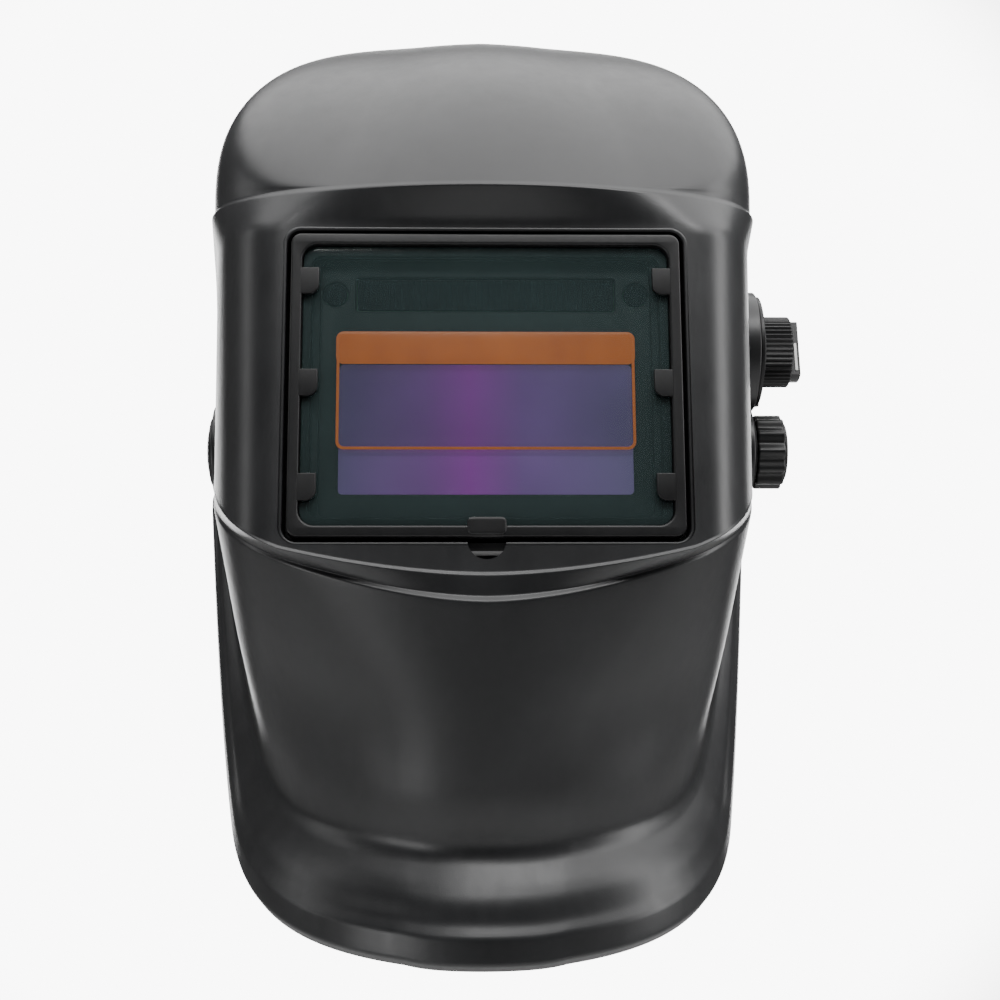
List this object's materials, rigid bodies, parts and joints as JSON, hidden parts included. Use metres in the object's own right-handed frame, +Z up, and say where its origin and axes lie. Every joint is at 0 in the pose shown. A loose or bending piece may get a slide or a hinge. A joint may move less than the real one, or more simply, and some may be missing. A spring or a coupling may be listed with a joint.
{
  "type": "welding helmet",
  "caption": "Flip-up auto-darkening welding helmet with recessed cover lens, filter cartridge, outside shade knob and ratchet headgear.",
  "frame": {"origin": "midway between the two flip pivots, inside the wearer's head", "axes": "+Z up, the face looks along -Y, +X is the wearer's left, and the flip pivots lie on the X axis"},
  "size_m": [0.2316, 0.2754, 0.3187],
  "materials": {
    "shell_plastic": "satin black",
    "frame_plastic": "fine grained black",
    "inner_plastic": "matt black",
    "headgear_plastic": "smooth dark grey",
    "cover_clear": "clear polycarbonate, teal tint",
    "filter_glass": "violet coated glass",
    "solar_glass": "dark blue cell under glass",
    "film": "printed orange film",
    "steel": "zinc plated",
    "board": "green solder mask",
    "white_mark": "white print",
    "rubber_black": "matt",
    "cloth": "terry cloth over foam"
  },
  "bodies": {
    "headgear": {"headband": "headgear_plastic", "sweatband": "cloth", "crown_strap_left": "headgear_plastic", "crown_strap_right": "headgear_plastic", "crown_peg": "frame_plastic", "ratchet_housing": "headgear_plastic", "ratchet_cover": "headgear_plastic", "detent_spring": "steel", "rear_pad": "cloth", "pivot_block_left": "headgear_plastic", "pivot_block_right": "headgear_plastic", "pivot_stud_left": "steel", "pivot_stud_right": "steel", "stop_plate_left": "steel", "stop_plate_right": "steel", "friction_washer_left": "rubber_black", "friction_washer_right": "rubber_black", "pivot_cap_right": "frame_plastic"},
    "shell": {"shell": "shell_plastic", "filter_carrier": "inner_plastic", "filter_housing_front": "inner_plastic", "filter_housing_back": "inner_plastic", "protective_film": "film", "uv_ir_filter": "filter_glass", "lcd_shutter": "filter_glass", "solar_cell": "solar_glass", "circuit_board": "board", "arc_sensor_left": "solar_glass", "arc_sensor_right": "solar_glass", "coin_cell_1": "steel", "coin_cell_2": "steel", "inner_cover_lens": "cover_clear", "shade_dial_plate": "frame_plastic", "shade_control_body": "steel", "shade_control_nut": "steel", "control_cable": "rubber_black", "cable_gland": "rubber_black", "tension_washer": "rubber_black"},
    "lens_frame": {"lens_frame": "frame_plastic", "cover_lens": "cover_clear"},
    "shade_knob": {"shade_knob": "frame_plastic", "shade_knob_index": "white_mark", "shade_control_shaft": "steel"},
    "sensitivity_knob": {"sensitivity_knob": "frame_plastic"},
    "delay_knob": {"delay_knob": "frame_plastic"},
    "cartridge_latch": {"cartridge_latch": "frame_plastic"},
    "tension_knob": {"tension_knob": "frame_plastic", "tension_knob_insert": "steel"},
    "ratchet_knob": {"ratchet_knob": "frame_plastic", "ratchet_pinion": "steel"},
    "rack_left": {"rack_left": "headgear_plastic"},
    "rack_right": {"rack_right": "headgear_plastic"}
  },
  "joints": [
    {"name": "shell_flip", "type": "hinge", "parent": "headgear", "child": "shell", "pos_m": [0, 0, 0], "axis": [-1, 0, 0], "range_deg": [0, 75]},
    {"name": "lens_frame_swing", "type": "hinge", "parent": "shell", "child": "lens_frame", "pos_m": [0, -0.12935, 0.06268], "axis": [-1, 0, 0], "range_deg": [0, 30]},
    {"name": "shade_knob_turn", "type": "hinge", "parent": "shell", "child": "shade_knob", "pos_m": [0.1, -0.008, 0.0385], "axis": [1, 0, 0], "range_deg": [-130, 130]},
    {"name": "sensitivity_turn", "type": "hinge", "parent": "shell", "child": "sensitivity_knob", "pos_m": [-0.028, -0.11636, 0.04202], "axis": [0, 0.9781, -0.2079], "range_deg": [-140, 140]},
    {"name": "delay_turn", "type": "hinge", "parent": "shell", "child": "delay_knob", "pos_m": [0.028, -0.11636, 0.04202], "axis": [0, 0.9781, -0.2079], "range_deg": [-140, 140]},
    {"name": "cartridge_latch_slide", "type": "slide", "parent": "shell", "child": "cartridge_latch", "axis": [0, -0.2079, -0.9781], "range_m": [0, 0.004]},
    {"name": "tension_knob_turn", "type": "hinge", "parent": "headgear", "child": "tension_knob", "pos_m": [0.107, 0, 0], "axis": [1, 0, 0], "range_deg": [-180, 180]},
    {"name": "ratchet_turn", "type": "hinge", "parent": "headgear", "child": "ratchet_knob", "pos_m": [0, 0.0934, -0.012], "axis": [0, -1, 0], "range_deg": [0, 66]},
    {"name": "rack_left_slide", "type": "slide", "parent": "headgear", "child": "rack_left", "axis": [-1, 0, 0], "range_m": [0, 0.0072]},
    {"name": "rack_right_slide", "type": "slide", "parent": "headgear", "child": "rack_right", "axis": [1, 0, 0], "range_m": [0, 0.0072]}
  ],
  "couplings": [
    {"joint": "rack_left_slide", "follows": "ratchet_turn", "m_per_rad": 0.00615},
    {"joint": "rack_right_slide", "follows": "ratchet_turn", "m_per_rad": 0.00615}
  ]
}
